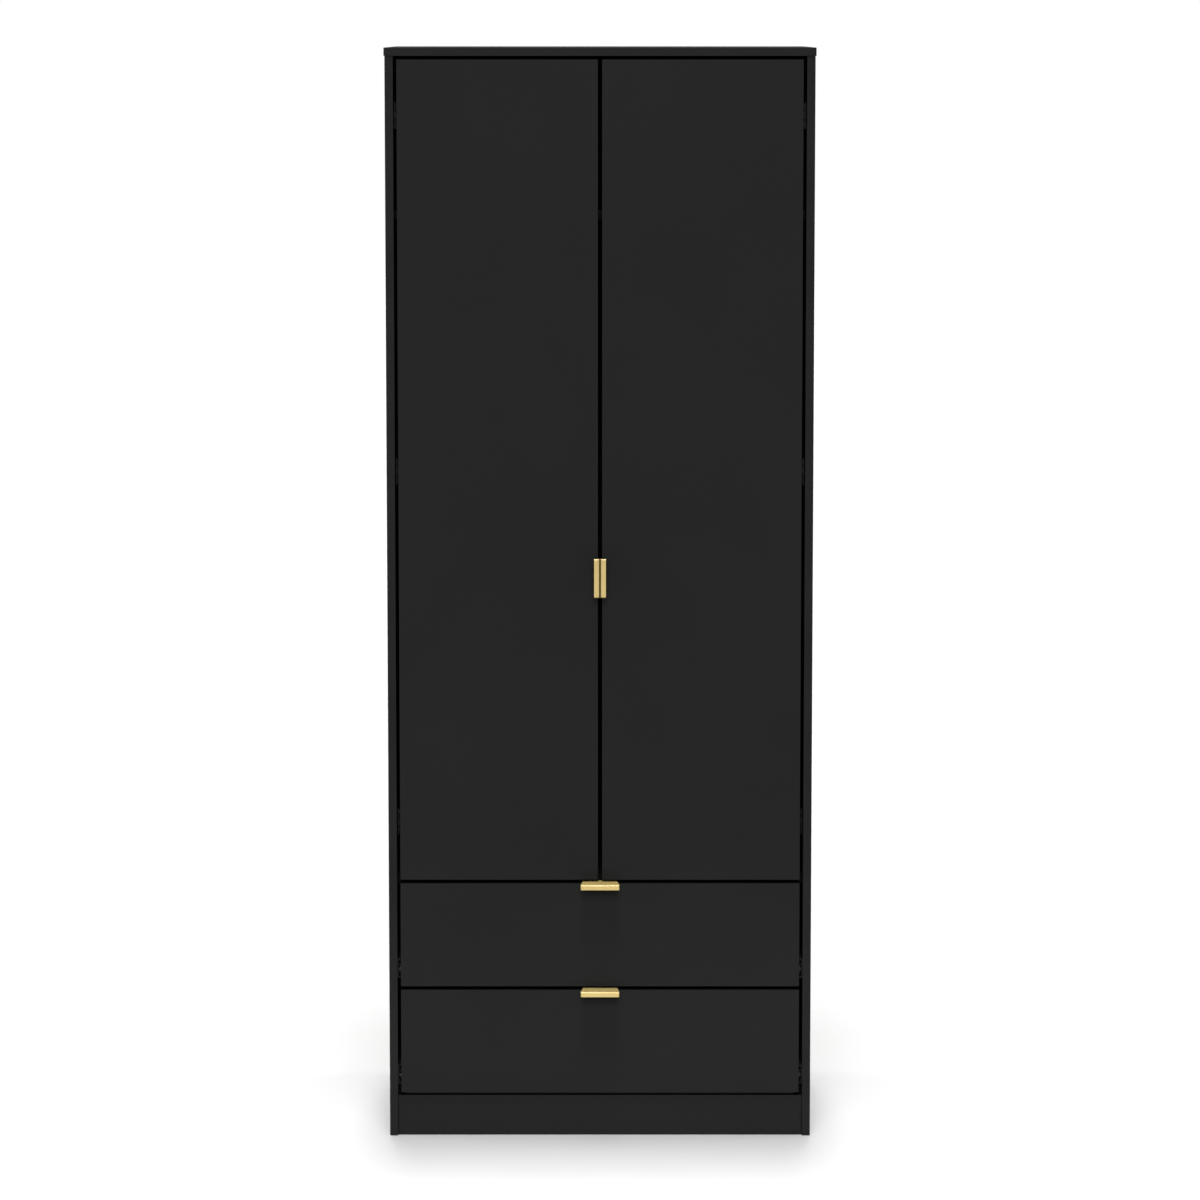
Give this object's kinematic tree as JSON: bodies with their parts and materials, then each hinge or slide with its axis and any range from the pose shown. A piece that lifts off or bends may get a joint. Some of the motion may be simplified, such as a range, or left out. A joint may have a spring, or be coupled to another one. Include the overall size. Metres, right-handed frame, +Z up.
{
  "type": "wardrobe",
  "caption": "Tall matte black board wardrobe: hinged inset doors over a hanging space and hat shelf, full-width drawers below on roller runners, brass edge pulls, recessed plinth.",
  "frame": {"origin": "on the floor, at the centre of the footprint, handles included", "axes": "+X to the right seen from the front, +Y to the back, +Z up; the doors and drawers open towards -Y"},
  "size_m": [0.768, 0.563, 1.97],
  "materials": {
    "black_board": "matte black melamine-faced board",
    "hardboard": "raw brown hardboard, painted black inside",
    "drawer_board": "grey foil-wrapped board",
    "brass": "satin brushed brass",
    "rail_steel": "satin black powder-coated steel",
    "hinge_steel": "black nickel-plated pressed steel",
    "runner_steel": "black epoxy-coated steel",
    "nylon": "black nylon",
    "dowel_wood": "fluted beech dowel",
    "zinc_steel": "bright zinc plate"
  },
  "bodies": {
    "carcass": {"side_panel_left": "black_board", "side_panel_right": "black_board", "top_panel": "black_board", "hat_shelf": "black_board", "divider_shelf": "black_board", "base_panel": "black_board", "plinth_front": "black_board", "plinth_rear": "black_board", "back_panel_upper": "hardboard", "back_panel_lower": "hardboard", "hanging_rail": "rail_steel", "rail_sockets": "rail_steel", "wall_brackets": "rail_steel", "wood_dowels": "dowel_wood", "cam_bolts": "zinc_steel", "cam_locks": "zinc_steel", "back_panel_nails": "zinc_steel", "carcass_screws": "hinge_steel", "hinge_plates": "hinge_steel", "hinge_arms": "hinge_steel", "cabinet_runners": "runner_steel"},
    "left_door": {"left_door_panel": "black_board", "left_door_handle": "brass", "left_hinge_cups": "hinge_steel", "left_hinge_pins": "hinge_steel", "left_door_screws": "hinge_steel"},
    "right_door": {"right_door_panel": "black_board", "right_door_handle": "brass", "right_hinge_cups": "hinge_steel", "right_hinge_pins": "hinge_steel", "right_door_screws": "hinge_steel"},
    "upper_drawer": {"upper_drawer_front": "black_board", "upper_drawer_side_left": "drawer_board", "upper_drawer_side_right": "drawer_board", "upper_drawer_back": "drawer_board", "upper_drawer_bottom": "drawer_board", "upper_drawer_dowels": "dowel_wood", "upper_drawer_screws": "hinge_steel", "upper_drawer_handle": "brass", "upper_drawer_runners": "runner_steel"},
    "upper_front_rollers": {"upper_drawer_front_rollers": "nylon"},
    "upper_rear_rollers": {"upper_drawer_rear_rollers": "nylon"},
    "lower_drawer": {"lower_drawer_front": "black_board", "lower_drawer_side_left": "drawer_board", "lower_drawer_side_right": "drawer_board", "lower_drawer_back": "drawer_board", "lower_drawer_bottom": "drawer_board", "lower_drawer_dowels": "dowel_wood", "lower_drawer_screws": "hinge_steel", "lower_drawer_handle": "brass", "lower_drawer_runners": "runner_steel"},
    "lower_front_rollers": {"lower_drawer_front_rollers": "nylon"},
    "lower_rear_rollers": {"lower_drawer_rear_rollers": "nylon"}
  },
  "joints": [
    {"name": "left_door_hinge", "type": "hinge", "parent": "carcass", "child": "left_door", "pos_m": [-0.3525, -0.24, 1.211], "axis": [0, 0, -1], "range_deg": [0, 100]},
    {"name": "right_door_hinge", "type": "hinge", "parent": "carcass", "child": "right_door", "pos_m": [0.3525, -0.24, 1.211], "axis": [0, 0, 1], "range_deg": [0, 100]},
    {"name": "upper_drawer_slide", "type": "slide", "parent": "carcass", "child": "upper_drawer", "axis": [0, -1, 0], "range_m": [0, 0.33]},
    {"name": "upper_front_roller_spin", "type": "hinge", "parent": "carcass", "child": "upper_front_rollers", "pos_m": [0, -0.2165, 0.30215], "axis": [1, 0, 0], "continuous": true},
    {"name": "upper_rear_roller_spin", "type": "hinge", "parent": "upper_drawer", "child": "upper_rear_rollers", "pos_m": [0, 0.2045, 0.30165], "axis": [1, 0, 0], "continuous": true},
    {"name": "lower_drawer_slide", "type": "slide", "parent": "carcass", "child": "lower_drawer", "axis": [0, -1, 0], "range_m": [0, 0.33]},
    {"name": "lower_front_roller_spin", "type": "hinge", "parent": "carcass", "child": "lower_front_rollers", "pos_m": [0, -0.2165, 0.1059], "axis": [1, 0, 0], "continuous": true},
    {"name": "lower_rear_roller_spin", "type": "hinge", "parent": "lower_drawer", "child": "lower_rear_rollers", "pos_m": [0, 0.2045, 0.1054], "axis": [1, 0, 0], "continuous": true}
  ],
  "couplings": [
    {"joint": "upper_front_roller_spin", "follows": "upper_drawer_slide", "rad_per_m": 90.909},
    {"joint": "upper_rear_roller_spin", "follows": "upper_drawer_slide", "rad_per_m": 90.909},
    {"joint": "lower_front_roller_spin", "follows": "lower_drawer_slide", "rad_per_m": 90.909},
    {"joint": "lower_rear_roller_spin", "follows": "lower_drawer_slide", "rad_per_m": 90.909}
  ]
}
